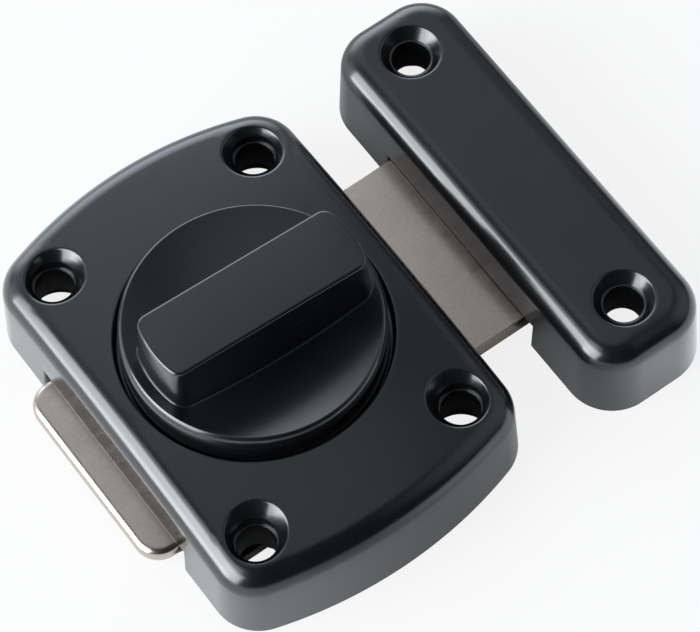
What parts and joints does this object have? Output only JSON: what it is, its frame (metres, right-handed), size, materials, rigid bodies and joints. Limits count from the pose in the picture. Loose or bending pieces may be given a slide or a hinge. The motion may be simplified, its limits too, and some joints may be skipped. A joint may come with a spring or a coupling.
{
  "type": "toilet door bolt",
  "caption": "Quarter-turn privacy bolt for a toilet door: black cast housing with a thumbturn, a sliding steel bolt plate and a separate cast keeper.",
  "frame": {"origin": "on the door's face, under the thumbturn's axis and at the middle of the housing's four screw holes", "axes": "+X along the bolt's travel towards the keeper, +Y across the bolt, +Z out of the door"},
  "size_m": [0.0896, 0.0748, 0.0287],
  "materials": {
    "cast_black": "smooth semi-gloss black coat",
    "bolt_steel": "satin stainless steel",
    "zinc_plated": "bright zinc plating",
    "nylon": "natural nylon"
  },
  "bodies": {
    "case": {"housing": "cast_black", "back_plate": "zinc_plated", "back_screw_1": "zinc_plated", "back_screw_2": "zinc_plated", "back_screw_3": "zinc_plated", "back_screw_4": "zinc_plated", "friction_ring": "nylon", "thrust_washer": "zinc_plated", "keeper": "cast_black"},
    "turn": {"thumbturn": "cast_black", "cam": "zinc_plated", "drive_pin": "bolt_steel", "cam_screw": "zinc_plated"},
    "slide": {"bolt": "bolt_steel"}
  },
  "joints": [
    {"name": "turn_hinge", "type": "hinge", "parent": "case", "child": "turn", "pos_m": [0, 0, 0], "axis": [0, 0, 1], "range_deg": [0, 90]},
    {"name": "bolt_slide", "type": "slide", "parent": "case", "child": "slide", "axis": [-1, 0, 0], "range_m": [0, 0.01768]}
  ],
  "couplings": [
    {"joint": "bolt_slide", "follows": "turn_hinge", "m_per_rad": 0.011254}
  ]
}
